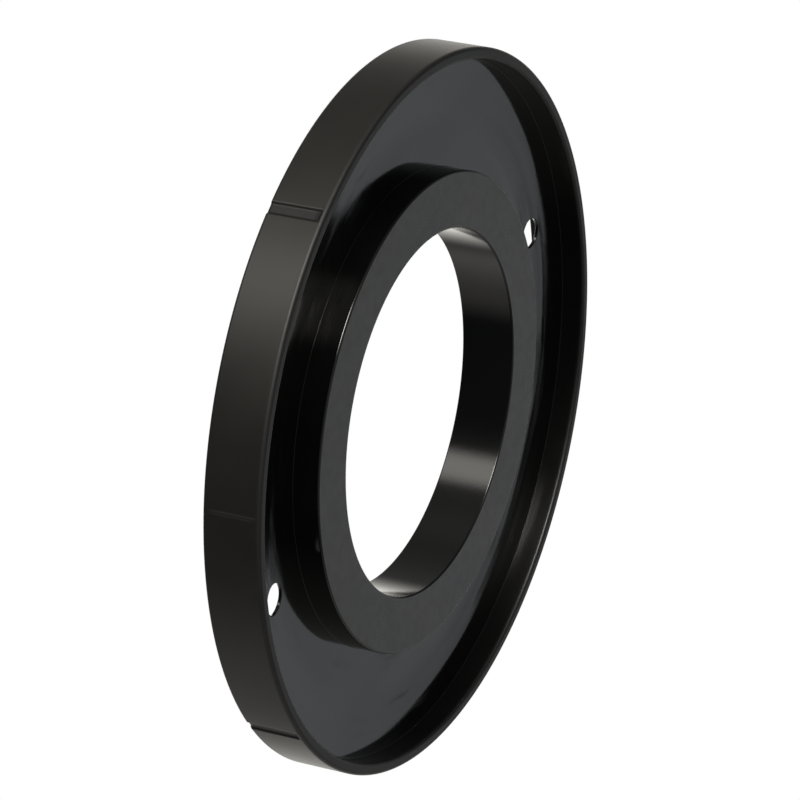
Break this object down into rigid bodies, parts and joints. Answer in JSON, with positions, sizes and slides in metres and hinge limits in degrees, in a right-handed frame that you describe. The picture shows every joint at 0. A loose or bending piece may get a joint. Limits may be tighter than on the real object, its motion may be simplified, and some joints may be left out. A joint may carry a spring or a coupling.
{
  "type": "rubber flange gasket",
  "caption": "Round moulded rubber flange gasket with a thick hub collar around a large bore, a thin web with fixing holes and a thin outer rim.",
  "frame": {"origin": "centre of the bore in the plane of the back faces of the hub and rim", "axes": "+Z along the bore axis towards the front, where the rim stands slightly above the hub; the two fixing holes lie on the X axis"},
  "size_m": [0.2, 0.2, 0.0165],
  "materials": {
    "rubber": "smooth satin moulded black rubber"
  },
  "bodies": {
    "root": {"flange_gasket": "rubber"}
  },
  "joints": []
}
